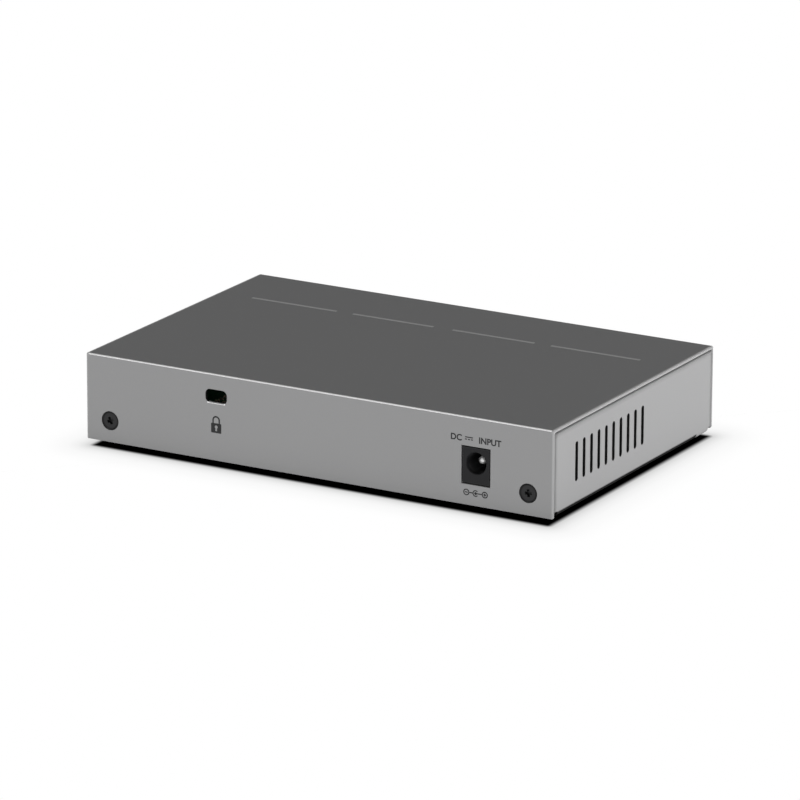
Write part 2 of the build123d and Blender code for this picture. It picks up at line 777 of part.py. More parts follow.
# Spring contact in the groove under the bore, bowed up in the middle, with a tail through the board
with BuildPart() as dc_jack_spring:
    groove_z = jack_z - jack_bore_radius - jack_spring_drop
    groove_front = jack_front - jack_spring_front
    with BuildSketch(Plane.YZ.offset(jack_x - jack_spring_width / 2)):
        with BuildLine():
            Polyline(
                (spring_y - jack_blade_sheet / 2, board_z - jack_blade_reach),
                (spring_y - jack_blade_sheet / 2, groove_z),
                (jack_floor, groove_z),
                (jack_floor, groove_z + jack_blade_sheet),
                (spring_y, groove_z + jack_blade_sheet),
                ((spring_y + groove_front) / 2, groove_z + jack_spring_drop + jack_blade_sheet),
                (groove_front, groove_z + jack_blade_sheet),
                (groove_front, groove_z),
                ((spring_y + groove_front) / 2, groove_z + jack_spring_drop),
                (spring_y + jack_blade_sheet / 2, groove_z),
                (spring_y + jack_blade_sheet / 2, board_z - jack_blade_reach),
                close=True,
            )
        make_face()
    extrude(amount=jack_spring_width)
save(dc_jack_spring.part, "dc_jack_spring")


def gull_wing(body_edge, direction):
    """Section of a lead that leaves a body's side, drops to the board and ends in a foot."""
    toe = body_edge + direction * lead_reach
    knee = body_edge + direction * lead_knee
    Polyline(
        (body_edge, board_top + lead_height),
        (body_edge, board_top + lead_height - lead_sheet),
        (knee - direction * lead_sheet, board_top + lead_height - lead_sheet),
        (knee - direction * lead_sheet, board_top),
        (toe, board_top),
        (toe, board_top + lead_sheet),
        (knee, board_top + lead_sheet),
        (knee, board_top + lead_height),
        close=True,
    )


# Magnetics modules, one behind each pair of sockets
magnetics_centres = [
    block_centre + side * port_pitch * port_count / 4
    for block_centre in block_centres.values()
    for side in (-1, 1)
]
for number, centre in enumerate(magnetics_centres, 1):
    with BuildPart() as magnetics:
        with BuildSketch(Plane.XY.offset(board_top)):
            with Locations((centre, magnetics_front)):
                Rectangle(magnetics_width, magnetics_depth, align=(Align.CENTER, Align.MIN))
        extrude(amount=magnetics_height)
        chamfer(magnetics.edges().group_by(Axis.Z)[-1], magnetics_height * bevel_share)
    save(magnetics.part, f"magnetics_module_{number}")

lead_places = [
    centre + (number - (lead_count - 1) / 2) * lead_pitch
    for centre in magnetics_centres
    for number in range(lead_count)
]
with BuildPart() as magnetics_leads:
    for edge_y, direction in ((magnetics_front, -1), (magnetics_rear, 1)):
        with BuildSketch(*[Plane.YZ.offset(x - lead_width / 2) for x in lead_places]):
            with BuildLine():
                gull_wing(edge_y, direction)
            make_face()
        extrude(amount=lead_width, dir=(1, 0, 0))
save(magnetics_leads.part, "magnetics_leads")


def box_part(name, x, y, length, width, bottom, height, corner=0):
    """A moulded block on the board, with rounded upright edges where it has a corner."""
    with BuildPart() as block:
        with BuildSketch(Plane.XY.offset(bottom)):
            with Locations((x, y)):
                Rectangle(length, width)
        extrude(amount=height)
        if corner:
            fillet(block.edges().filter_by(Axis.Z), corner)
        chamfer(block.edges().group_by(Axis.Z)[-1], height * bevel_share)
    save(block.part, name)


# Switch chip, thermal pad and heatsink
box_part("switch_chip", switch_x, switch_y, switch_size, switch_size, board_top, switch_height)
box_part("thermal_pad", switch_x, switch_y, switch_size, switch_size, board_top + switch_height, pad_height)
heatsink_z = board_top + switch_height + pad_height
fin_step = (heatsink_size - heatsink_fin_width) / (heatsink_fin_count - 1)
with BuildPart() as heatsink:
    with BuildSketch(Plane.XY.offset(heatsink_z)):
        with Locations((switch_x, switch_y)):
            Rectangle(heatsink_size, heatsink_size)
    extrude(amount=heatsink_base)
    with BuildSketch(Plane.XY.offset(heatsink_z + heatsink_base)):
        with Locations((switch_x, switch_y)):
            with GridLocations(fin_step, 1, heatsink_fin_count, 1):
                Rectangle(heatsink_fin_width, heatsink_size)
    extrude(amount=heatsink_fin_height)
save(heatsink.part, "heatsink")

# Chips and small parts round the switch chip
box_part("poe_controller_chip", board_half_width - poe_inset, switch_y, poe_size, poe_size, board_top, poe_height)
box_part("flash_chip", switch_x - flash_offset, switch_y, flash_length, flash_width, board_top, flash_height)

with BuildPart() as port_surge_diodes:
    with BuildSketch(Plane.XY.offset(board_top)):
        for block_centre in block_centres.values():
            with Locations(*[(x, surge_y) for x in port_places(block_centre)]):
                Rectangle(diode_length, diode_width)
    extrude(amount=diode_height)
save(port_surge_diodes.part, "port_surge_diodes")

with BuildPart() as crystal:
    crystal_x = switch_x + crystal_offset
    crystal_y = switch_y + heatsink_size / 2
    with BuildSketch(Plane.XY.offset(board_top)):
        with Locations((crystal_x, crystal_y)):
            SlotOverall(crystal_length + 2 * crystal_flange, crystal_width + 2 * crystal_flange)
    extrude(amount=crystal_flange)
    with BuildSketch(Plane.XY.offset(board_top + crystal_flange)):
        with Locations((crystal_x, crystal_y)):
            SlotOverall(crystal_length, crystal_width)
    extrude(amount=crystal_height - crystal_flange)
    fillet(crystal.edges().group_by(Axis.Z)[-1], crystal_flange)
save(crystal.part, "crystal")

# Power parts between the jack and the switch chip
capacitor_y = board_rear - capacitor_rear_inset
first_capacitor_x = jack_x + jack_width / 2 + capacitor_jack_gap + capacitor_radius
for number in range(capacitor_count):
    capacitor_x = first_capacitor_x + number * capacitor_pitch
    with BuildPart() as capacitor:
        with BuildSketch(Plane.XY.offset(board_top)):
            with Locations((capacitor_x, capacitor_y)):
                Circle(capacitor_radius)
        extrude(amount=capacitor_height)
        fillet(capacitor.edges().group_by(Axis.Z)[-1], capacitor_bevel)
        with Locations((capacitor_x, capacitor_y, board_top + groove_height)):
            Torus(capacitor_radius + groove_radius / 2, groove_radius, mode=Mode.SUBTRACT)
    save(capacitor.part, f"bulk_capacitor_{number + 1}")

fuse_y = jack_rear - jack_blade_sheet - input_gap - fuse_width / 2
choke_y = fuse_y - fuse_width / 2 - input_gap - choke_width / 2
diode_x = jack_x - choke_length / 2 - input_gap - diode_width / 2
box_part("input_fuse", jack_x, fuse_y, fuse_length, fuse_width, board_top, fuse_width)
box_part("input_choke", jack_x, choke_y, choke_length, choke_width, board_top, choke_height)
box_part("rectifier_diode", diode_x, choke_y, diode_width, diode_length, board_top, diode_height)
inductor_x = jack_x + choke_length / 2 + input_gap + inductor_size / 2
for number in range(inductor_count):
    box_part(
        f"power_inductor_{number + 1}",
        inductor_x + number * inductor_pitch,
        choke_y,
        inductor_size,
        inductor_size,
        board_top,
        inductor_height,
        inductor_corner,
    )
regulator_y = choke_y - inductor_size / 2 - input_gap - regulator_width / 2
box_part(
    "voltage_regulator",
    inductor_x,
    regulator_y,
    regulator_length,
    regulator_width,
    board_top,
    regulator_height,
)

# Small chip parts in rows beside the PoE controller
with BuildPart() as chip_parts:
    with BuildSketch(Plane.XY.offset(board_top)):
        with Locations((board_half_width - chip_part_inset, switch_y)):
            with GridLocations(chip_part_pitch, chip_part_pitch, chip_part_column_count, chip_part_row_count):
                Rectangle(chip_part_length, chip_part_width)
    extrude(amount=chip_part_height)
save(chip_parts.part, "chip_parts")
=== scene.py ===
"""Looks of a small eight-port network switch: finishes, printed marks and studio."""

import math

import bpy
from mathutils import Matrix, Vector


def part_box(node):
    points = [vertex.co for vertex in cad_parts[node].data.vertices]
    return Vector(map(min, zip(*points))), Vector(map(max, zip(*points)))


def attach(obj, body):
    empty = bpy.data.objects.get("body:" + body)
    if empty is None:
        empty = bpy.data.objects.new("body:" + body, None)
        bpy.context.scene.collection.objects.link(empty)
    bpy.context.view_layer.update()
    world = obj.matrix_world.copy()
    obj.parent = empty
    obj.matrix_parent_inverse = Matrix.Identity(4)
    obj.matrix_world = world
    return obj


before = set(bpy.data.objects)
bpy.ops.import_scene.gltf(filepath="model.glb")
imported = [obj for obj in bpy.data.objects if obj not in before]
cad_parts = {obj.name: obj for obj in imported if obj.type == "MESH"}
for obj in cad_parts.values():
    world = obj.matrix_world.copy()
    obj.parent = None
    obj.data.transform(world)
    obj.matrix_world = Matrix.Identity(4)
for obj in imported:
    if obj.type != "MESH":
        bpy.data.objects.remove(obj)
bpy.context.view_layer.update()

bl_info = {
    "name": "Network switch looks",
    "version": (1, 0, 0),
    "blender": (4, 5, 0),
    "location": "3D View > Sidebar > Switch",
    "description": "Finishes, printed marks and studio of a small network switch",
    "category": "Object",
}

MM = 0.001
# Height of a capital as a share of the size of its font
CAPITAL_SHARE = 0.73
# How far the streaks of drawn and plated metal are drawn out, and the turn that lays them along Y
STREAK_STRETCH = 24.0
ALONG_Y = (0, 0, math.radians(90))

# Tone of the floor from the edge of the case's shadow outwards: share of its reach, and brightness
SOFT_SHADOW = (
    (0.0, 0.0), (0.022, 0.02), (0.047, 0.14), (0.089, 0.485), (0.12, 0.69), (0.21, 0.8), (0.32, 0.885), (0.48, 0.945),
    (0.8, 0.987), (1.0, 1.0),
)
# Tone of the floor by how much open sky it sees
UNDER_CASE = ((0.14, 0.0), (0.3, 1.0))

# Which finish each group of nodes takes
BLOCK_SIDES = ("left", "right")
CAPACITORS = ("bulk_capacitor_1", "bulk_capacitor_2", "bulk_capacitor_3")
MAGNETICS = tuple(f"magnetics_module_{number}" for number in range(1, 5))


def node_box(name):
    """Lowest and highest corner of a node, as vectors in metres."""
    low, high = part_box(name)
    return Vector(low), Vector(high)


# Settings that a user may change


def length(name, description, millimetres):
    """A length of nothing or more."""
    return bpy.props.FloatProperty(
        name=name, description=description, unit="LENGTH", min=0, default=millimetres * MM
    )


def colour(name, description, tones):
    """A colour, given as its three shares of light."""
    return bpy.props.FloatVectorProperty(
        name=name, description=description, subtype="COLOR", size=3, min=0, max=1, default=tones
    )


def share(name, description, default):
    """A share between nothing and all."""
    return bpy.props.FloatProperty(
        name=name, description=description, subtype="FACTOR", min=0, max=1, default=default
    )


def power(name, description, watts):
    """The power of a lamp."""
    return bpy.props.FloatProperty(name=name, description=description, unit="POWER", min=0, default=watts)


def amount(name, description, default, **limits):
    """A number of nothing or more without a unit."""
    return bpy.props.FloatProperty(name=name, description=description, min=0, default=default, **limits)


class CaseLook(bpy.types.PropertyGroup):
    """Paint of the folded steel case."""

    paint: colour("Paint", "Colour of the case", (0.27, 0.27, 0.272))
    # Painted highlight on the long bends and on the lock slot's lower lip
    bright: colour("Bright", "Colour of the thin paint on the bends and of the slot's lower lip", (0.93, 0.93, 0.93))
    shade: colour("Shade", "Colour in slots and gaps", (0.012, 0.012, 0.012))
    bend_shade: colour("Bend shade", "Colour under the lower bend of the sides", (0.001, 0.001, 0.001))
    # Painted highlights along the cut ends of the top and along the upright corners
    worn_end: colour("End highlight", "Colour of the paint along the cut ends of the top", (0.54, 0.54, 0.54))
    worn_corner: colour("Corner highlight", "Colour of the paint along the upright corners", (0.33, 0.33, 0.332))
    # Painted shade beside the seams of the tray
    seam_dust: colour("Seam shade", "Colour of the paint beside the seams", (0.16, 0.16, 0.16))
    # Width of the painted highlight on the long bends
    bend_shine: length("Bend shine", "Width of the thin paint on the long bends", 0.42)
    under_bend: length("Under bend", "Height of the shade on the lower bend", 1.85)
    bend_end: length("Bend end", "From the front of the tray to the end of that shade", 9.0)
    slot_inset: length("Lock slot inset", "From the end of the rear wall to the middle of the lock slot", 45.15)
    slot_drop: length("Lock slot drop", "From the top to the middle of the lock slot", 6.9)
    slot_lip: length("Slot lip", "Depth of paint on the rim of the vent slots", 0.03)
    metal: share("Metal flake", "Share of metal flake in the paint", 0.2)
    roughness: share("Roughness", "Roughness of the paint", 0.5)
    grain: length("Grain", "Size of the paint's fine texture", 0.35)


class PrintLook(bpy.types.PropertyGroup):
    """Printed marks on the case."""

    dark: colour("Dark ink", "Colour of the marks on the walls", (0.016, 0.016, 0.017))
    pale: colour("Pale ink", "Colour of the lines on the top", (0.5, 0.5, 0.5))
    film: length("Film", "Thickness of the ink", 0.02)
    letter_height: length("Letter height", "Height of the capitals by the jack", 1.9)
    line_pitch: length("Line pitch", "Distance between the middles of the top lines", 34.7)
    outer_line: length("Outer line", "Length of the two outer lines", 30.0)
    inner_line: length("Inner line", "Length of the two inner lines", 28.0)
    line_width: length("Line width", "Width of the top lines", 1.1)
    boldness: length("Boldness", "How far the letters' strokes spread", 0.07)
    stroke: length("Stroke", "Width of the thin strokes of the marks", 0.32)
    port_pitch: length("Port pitch", "Distance between the numbers over the sockets", 14.0)


class StageLook(bpy.types.PropertyGroup):
    """Floor, lamps and air of the studio."""

    floor_half: length("Floor", "Half the width of the floor", 20000.0)
    floor_glow: amount("Floor glow", "Brightness of the floor for the light that it throws back", 0.95)
    under_glow: amount("Under glow", "Brightness of the floor for the underside of the case", 0.45)
    bounce_reach: length("Bounce reach", "Width of the dark strip of floor beside the end walls", 8.0)
    bounce_squeeze: amount("Bounce squeeze", "Width of that strip as a share of the one beside the sides", 0.3)
    bounce_taper: amount(
        "Bounce taper", "How much wider the strip beside the sides grows towards the rear", 0.6, max=0.9
    )
    shadow_inset_x: length("Shadow inset X", "From the side wall to the edge of the shadow", 2.28)
    shadow_inset_y: length("Shadow inset Y", "From the end wall to the edge of the shadow", 0.65)
    shadow_shift: bpy.props.FloatProperty(
        name="Shadow shift", description="How far the shadow lies towards the vented side that shows", unit="LENGTH",
        default=0.43 * MM,
    )
    shadow_skew: bpy.props.FloatProperty(
        name="Shadow skew", description="How much the shadow narrows for each metre along the width", default=0.005
    )
    shadow_reach: length("Shadow reach", "How far the soft shadow spreads on the floor", 18.0)
    air: amount("Air", "Brightness of the air overhead", 0.15)
    side_panel: power("Side panel", "Light on the vented side", 19.4)
    rear_panel: power("Rear panel", "Light on the rear wall", 4.6)
    front_panel: power("Front panel", "Light on the sockets", 10.0)
    far_panel: power("Far panel", "Light on the other side", 10.0)
    rim_strip: power("Rim strip", "Light along the rear top bend", 2.6)


# Small helpers for nodes


def put(tree, kind, values=None, **settings):
    """Adds a node; values sets or links its inputs by name or number."""
    made = tree.nodes.new(kind)
    for name, value in settings.items():
        setattr(made, name, value)
    for key, value in (values or {}).items():
        socket = made.inputs[key]
        if isinstance(value, bpy.types.NodeSocket):
            tree.links.new(value, socket)
        else:
            socket.default_value = value
    return made


def maths(tree, operation, *terms, clamp=False):
    """A Math node's result."""
    return put(tree, "ShaderNodeMath", dict(enumerate(terms)), operation=operation, use_clamp=clamp).outputs[0]


def vectors(tree, operation, *terms):
    """A Vector Math node's result: a number for a length, or else a vector."""
    made = put(tree, "ShaderNodeVectorMath", dict(enumerate(terms)), operation=operation)
    return made.outputs["Value" if operation == "LENGTH" else "Vector"]


def noise(tree, place, size, detail=2.0):
    """Noise whose patches have about the size given."""
    return put(
        tree, "ShaderNodeTexNoise", {"Vector": place, "Scale": maths(tree, "DIVIDE", 1.0, size), "Detail": detail}
    ).outputs[0]


def new_group(name, inputs, outputs):
    """An empty shader node group with its sockets, and its two end nodes."""
    group = bpy.data.node_groups.new(name, "ShaderNodeTree")
    for label, kind, default in inputs:
        socket = group.interface.new_socket(name=label, in_out="INPUT", socket_type=kind)
        if default is not None:
            socket.default_value = default
    for label, kind in outputs:
        group.interface.new_socket(name=label, in_out="OUTPUT", socket_type=kind)
    return group, group.nodes.new("NodeGroupInput"), group.nodes.new("NodeGroupOutput")


FLOAT, COLOUR, VECTOR = "NodeSocketFloat", "NodeSocketColor", "NodeSocketVector"
FINISH_INPUTS = [
    ("Vector", VECTOR, None),
    ("Colour", COLOUR, (0.5, 0.5, 0.5, 1.0)),
    ("Grain size", FLOAT, 0.0003),
    ("Patch size", FLOAT, 0.02),
    ("Contrast", FLOAT, 0.05),
    ("Roughness", FLOAT, 0.5),
    ("Roughness change", FLOAT, 0.05),
]
FINISH_OUTPUTS = [("Colour", COLOUR), ("Roughness", FLOAT), ("Height", FLOAT)]


def finish_tree(name, stretch):
    """A group that varies a colour and a roughness with fine and broad noise, drawn out along X if asked."""
    group, given, result = new_group(name, FINISH_INPUTS, FINISH_OUTPUTS)
    pulled = vectors(group, "MULTIPLY", given.outputs["Vector"], (1 / stretch, 1.0, 1.0))
    fine = noise(group, pulled, given.outputs["Grain size"])
    broad = noise(group, pulled, given.outputs["Patch size"], detail=3.0)
    swing = maths(group, "SUBTRACT", maths(group, "ADD", fine, broad), 1.0)
    bright = maths(group, "MULTIPLY_ADD", swing, given.outputs["Contrast"], 1.0)
    tinted = put(
        group, "ShaderNodeVectorMath", {0: given.outputs["Colour"], "Scale": bright}, operation="SCALE"
    ).outputs[0]
    shift = maths(group, "MULTIPLY", maths(group, "SUBTRACT", broad, 0.5), given.outputs["Roughness change"])
    group.links.new(tinted, result.inputs["Colour"])
    group.links.new(maths(group, "ADD", given.outputs["Roughness"], shift, clamp=True), result.inputs["Roughness"])
    group.links.new(fine, result.inputs["Height"])
    return group


def rubbed_edge_tree():
    """A group that marks where two faces of a box meet, broken up by noise."""
    group, given, result = new_group(
        "Edge wear and shade",
        [
            ("Vector", VECTOR, None),
            ("Low corner", VECTOR, None),
            ("High corner", VECTOR, None),
            ("Reach", FLOAT, 0.001),
            ("Break-up", FLOAT, 0.004),
        ],
        [("Mask", FLOAT)],
    )
    from_low = vectors(group, "SUBTRACT", given.outputs["Vector"], given.outputs["Low corner"])
    from_high = vectors(group, "SUBTRACT", given.outputs["High corner"], given.outputs["Vector"])
    inside = vectors(group, "MINIMUM", from_low, from_high)
    split = put(group, "ShaderNodeSeparateXYZ", {0: inside})
    near = [
        maths(group, "SUBTRACT", 1.0, maths(group, "DIVIDE", split.outputs[axis], given.outputs["Reach"]), clamp=True)
        for axis in range(3)
    ]
    pairs = [maths(group, "MULTIPLY", near[a], near[b]) for a, b in ((0, 1), (1, 2), (0, 2))]
    edge = maths(group, "ADD", maths(group, "ADD", pairs[0], pairs[1]), pairs[2], clamp=True)
    patchy = noise(group, given.outputs["Vector"], given.outputs["Break-up"])
    least_patchy = 0.35
    broken = maths(group, "MULTIPLY", edge, maths(group, "ADD", patchy, least_patchy), clamp=True)
    group.links.new(broken, result.inputs["Mask"])
    return group


def box_tree():
    """A group that marks what lies within a box."""
    group, given, result = new_group(
        "Within a box",
        [
            ("Vector", VECTOR, None),
            ("Low corner", VECTOR, None),
            ("High corner", VECTOR, None),
            ("Softness", FLOAT, 0.0001),
        ],
        [("Mask", FLOAT)],
    )
    mask = None
    for first, second in (("Vector", "Low corner"), ("High corner", "Vector")):
        room = vectors(group, "SUBTRACT", given.outputs[first], given.outputs[second])
        split = put(group, "ShaderNodeSeparateXYZ", {0: room})
        for axis in range(3):
            inner = maths(group, "DIVIDE", split.outputs[axis], given.outputs["Softness"], clamp=True)
            mask = maths(group, "MULTIPLY", mask, inner) if mask else inner
    group.links.new(mask, result.inputs["Mask"])
    return group


def axis_tree():
    """A group that marks what lies farther than a radius from an axis along Y."""
    group, given, result = new_group(
        "Away from an axis",
        [("Vector", VECTOR, None), ("Centre", VECTOR, None), ("Radius", FLOAT, 0.001), ("Softness", FLOAT, 0.0001)],
        [("Mask", FLOAT)],
    )
    off = vectors(group, "SUBTRACT", given.outputs["Vector"], given.outputs["Centre"])
    far = vectors(group, "LENGTH", vectors(group, "MULTIPLY", off, (1, 0, 1)))
    past = maths(group, "SUBTRACT", far, given.outputs["Radius"])
    group.links.new(maths(group, "DIVIDE", past, given.outputs["Softness"], clamp=True), result.inputs["Mask"])
    return group


def shared_group(name):
    """One of the shared groups, built the first time that it is asked for."""
    made = bpy.data.node_groups.get(name)
    if made:
        return made
    makers = {"Away from an axis": axis_tree, "Edge wear and shade": rubbed_edge_tree, "Within a box": box_tree}
    if name in makers:
        return makers[name]()
    return finish_tree(name, STREAK_STRETCH if name == "Drawn streaks" else 1.0)


def blend(tree, mask, first, second):
    """A colour between two, by a mask."""
    return put(tree, "ShaderNodeMix", {0: mask, 6: first, 7: second}, data_type="RGBA").outputs[2]


def ramp(tree, value, stops):
    """A grey curve through the stops, each a place and a height."""
    made = put(tree, "ShaderNodeValToRGB", {0: value})
    for index, (position, height) in enumerate(stops):
        stop = made.color_ramp.elements[index] if index < 2 else made.color_ramp.elements.new(position)
        stop.position = position
        stop.color = (height, height, height, 1)
    return made.outputs[0]


def rgba(colour):
    return (*tuple(colour)[:3], 1.0)


class Finish:
    """A Principled material whose colour, roughness and bump come from a shared group."""

    def __init__(self, name, colour, roughness, group="Surface grain", grain=0.3, patch=15.0, contrast=0.08,
                 change=0.08, bump=0.02, turn=(0, 0, 0), **sockets):
        self.material = bpy.data.materials.new(name)
        self.material.use_nodes = True
        self.tree = self.material.node_tree
        self.tree.nodes.clear()
        self.place = put(self.tree, "ShaderNodeTexCoord").outputs["Object"]
        turned = put(self.tree, "ShaderNodeMapping", {"Vector": self.place, "Rotation": turn}).outputs[0]
        values = {
            "Vector": turned,
            "Colour": rgba(colour),
            "Grain size": grain * MM,
            "Patch size": patch * MM,
            "Contrast": contrast,
            "Roughness": roughness,
            "Roughness change": change,
        }
        self.group = self.shared(group, values)
        bumped = put(
            self.tree,
            "ShaderNodeBump",
            {"Height": self.group.outputs["Height"], "Strength": 0.5, "Distance": bump * MM},
        )
        self.shader = put(
            self.tree,
            "ShaderNodeBsdfPrincipled",
            {"Roughness": self.group.outputs["Roughness"], "Normal": bumped.outputs[0], **sockets},
        )
        self.colour(self.group.outputs["Colour"])
        put(self.tree, "ShaderNodeOutputMaterial", {"Surface": self.shader.outputs[0]})

    def colour(self, source):
        """Links the base colour, and remembers where it comes from."""
        self.tint = source
        self.tree.links.new(source, self.shader.inputs["Base Color"])

    def rub(self, low, high, colour, reach, break_up=4.0):
        """Lays a colour along the edges of the box from low to high: rubbed wear on the jack, painted shade beside
        the tray's seams.
        """
        mask = self.mask(
            "Edge wear and shade",
            {"Vector": self.place, "Low corner": low, "High corner": high, "Reach": reach * MM,
             "Break-up": break_up * MM},
        )
        return self.over(mask, colour)

    def over(self, mask, colour):
        """Lays another colour over the finish where the mask is."""
        self.colour(blend(self.tree, mask, self.tint, rgba(colour)))
        return self

    def within(self, low, high, colour, mirrored=False, softness=0.02, dull=False):
        """Gives what lies within a box another colour, in its mirror images too if mirrored, and no shine if dull."""
        place = vectors(self.tree, "ABSOLUTE", self.place) if mirrored else self.place
        mask = self.mask(
            "Within a box", {"Vector": place, "Low corner": low, "High corner": high, "Softness": softness * MM}
        )
        self.over(mask, colour)
        if dull:
            left = maths(self.tree, "SUBTRACT", 1.0, mask)
            for name in ("Coat Weight", "Metallic"):
                kept = maths(self.tree, "MULTIPLY", left, self.shader.inputs[name].default_value)
                self.tree.links.new(kept, self.shader.inputs[name])
            rough = maths(self.tree, "MAXIMUM", mask, self.group.outputs["Roughness"])
            self.tree.links.new(rough, self.shader.inputs["Roughness"])
        return self

    def beyond(self, centre, radius, colour, softness=0.1):
        """Gives what lies farther than a radius from an axis along Y another colour."""
        mask = self.mask(
            "Away from an axis",
            {"Vector": self.place, "Centre": centre, "Radius": radius * MM, "Softness": softness * MM},
        )
        return self.over(mask, colour)

    def mask(self, name, values):
        """The mask of a shared group, with its inputs set."""
        return self.shared(name, values).outputs["Mask"]

    def shared(self, name, values):
        """A node of one of the shared groups, with its inputs set."""
        return put(self.tree, "ShaderNodeGroup", values, node_tree=shared_group(name))

    def facing_up(self, sharpness=0.5):
        """A mask of the faces that look upwards."""
        normal = put(self.tree, "ShaderNodeNewGeometry").outputs["Normal"]
        up = put(self.tree, "ShaderNodeSeparateXYZ", {0: normal}).outputs[2]
        return maths(self.tree, "GREATER_THAN", up, sharpness)

    def dress(self, *names):
        """Puts the material on CAD nodes."""
        for name in names:
            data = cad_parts[name].data
            data.materials.clear()
            data.materials.append(self.material)
        return self


def metal_finish(name, colour, roughness, **settings):
    """A finish with the streaks of drawn or plated metal."""
    return Finish(name, colour, roughness, group="Drawn streaks", **{"Metallic": 1.0, **settings})


# Finishes of the solids


class SWITCH_OT_case(bpy.types.Operator):
    """Paints the cover and the tray"""

    bl_idname = "switch_looks.case"
    bl_label = "Paint the case"

    def execute(self, context):
        look = context.scene.switch_case
        paint = {
            "roughness": look.roughness, "grain": look.grain / MM, "patch": 38.0, "contrast": 0.06, "change": 0.1,
            "bump": 0.012, "Metallic": look.metal, "Specular IOR Level": 0.35, "Coat Weight": 0.3,
            "Coat Roughness": 0.24,
        }
        self.paint_cover(look, paint)
        self.paint_tray(look, paint)
        return {"FINISHED"}

    def paint_cover(self, look, paint):
        """Painted highlights on the two long bends, the upright corners, the cut ends of the top and the lock slot's
        lower lip, and painted shade on the cut walls of the holes of the rear wall.
        """
        cover = Finish("cover_paint", look.paint, **paint)
        high = node_box("top_cover")[1]
        beyond = high + Vector((MM, MM, MM))
        # Painted highlight along the rear and front top bends
        bend = look.bend_shine
        cover.within((-MM, high.y - bend, high.z - bend), beyond, look.bright, mirrored=True, softness=0.08)
        # Painted highlights: a band along each upright corner, then a wide and a narrow one along the cut ends of the
        # top
        margin = 0.02 * MM
        for inner, depth, lowest, softness, colour in (
            (0.6, 0.2, high.z, 0.1, look.worn_corner),
            (0.9, high.y / MM, 1.05 * MM, 0.25, look.worn_corner),
            (0.9, high.y / MM, 0.25 * MM, 0.25, look.worn_end),
        ):
            cover.within(
                (high.x - inner * MM, high.y - depth * MM - margin, high.z - lowest), beyond, colour, mirrored=True,
                softness=softness,
            )
        # Painted shade on the walls of the holes, between the back of the sheet and the paint on its face
        sheet_back, face = high.y - 1.05 * MM, high.y - 0.04 * MM
        for held, room in (("cover_screw_left", 0.35), ("cover_screw_right", 0.35), ("dc_jack_body", 0.4)):
            held_low, held_high = node_box(held)
            spread = Vector((room, 0, room)) * MM
            cover.within(
                Vector((held_low.x, sheet_back, held_low.z)) - spread,
                Vector((held_high.x, face, held_high.z)) + spread,
                look.shade,
            )
        slot_x, slot_z = high.x - look.slot_inset, high.z - look.slot_drop
        half_wide, half_high = 4.0 * MM, 2.4 * MM
        # Painted shade on the cut walls of the lock slot
        cover.within(
            (slot_x - half_wide, sheet_back, slot_z - half_high), (slot_x + half_wide, face, slot_z + half_high),
            look.shade,
        )
        # Painted highlight along the lower lip of the lock slot
        lip_half, lip_foot, lip_top = 3.1 * MM, slot_z - 2.26 * MM, slot_z - 1.88 * MM
        cover.within(
            (slot_x - lip_half, sheet_back, lip_foot), (slot_x + lip_half, high.y + MM, lip_top), look.bright,
            softness=0.06,
        )
        cover.dress("top_cover")

    def paint_tray(self, look, paint):
        """Painted shade in the vent slots, inside the side walls, under their lower bend, in the bend reliefs and
        beside the seams.
        """
        tray = Finish("tray_paint", look.paint, **paint)
        low, high = node_box("base_tray")
        slot_low, slot_high, row_end, wall = low.z + 7.4 * MM, low.z + 20.3 * MM, 39 * MM, 1.5 * MM
        tray.within(
            (high.x - wall, -MM, slot_low), (high.x - look.slot_lip, row_end, slot_high), look.shade, mirrored=True
        )
        bend = 2.6 * MM
        for inner, outer in ((high.x - bend, high.x + MM), (low.x - MM, low.x + bend)):
            tray.within(
                (inner, low.y + look.bend_end, low.z - MM), (outer, high.y + MM, low.z + look.under_bend),
                look.bend_shade, softness=0.5, dull=True,
            )
        relief_inner, relief_outer, relief_length = 4 * MM, 0.9 * MM, 2.2 * MM
        tray.within(
            (high.x - relief_inner, high.y - relief_length, low.z - MM),
            (high.x - relief_outer, high.y + MM, low.z + bend), look.shade, mirrored=True, softness=0.2,
        )
        # The painted shade lies along the seams and not along the bottom, so its box reaches below the tray
        deep = 20 * MM
        tray.rub((low.x, low.y, low.z - deep), high, look.seam_dust, reach=1.6, break_up=9.0)
        tray.dress("base_tray")


class SWITCH_OT_fixings(bpy.types.Operator):
    """Finishes the cover's screws and the feet"""

    bl_idname = "switch_looks.fixings"
    bl_label = "Finish screws and feet"

    def execute(self, context):
        for side in BLOCK_SIDES:
            name = f"cover_screw_{side}"
            low, high = node_box(name)
            # The outer rim of each head is painted near black: painted shade in the gap round the head
            metal_finish(
                f"black_oxide_{side}", (0.017, 0.017, 0.018), 0.42, grain=0.12, patch=1.5, contrast=0.3, change=0.2,
                bump=0.01, Metallic=0.2, **{"Specular IOR Level": 0.33},
            ).beyond((low + high) / 2, 2.15, (0.001, 0.001, 0.001), softness=0.3).dress(name)
        Finish(
            "foot_rubber", (0.022, 0.022, 0.023), 0.85, grain=0.18, patch=4.0, contrast=0.35, bump=0.03,
            **{"Specular IOR Level": 0.3},
        ).dress(*(f"foot_{end}_{side}" for end in ("front", "rear") for side in BLOCK_SIDES))
        return {"FINISHED"}


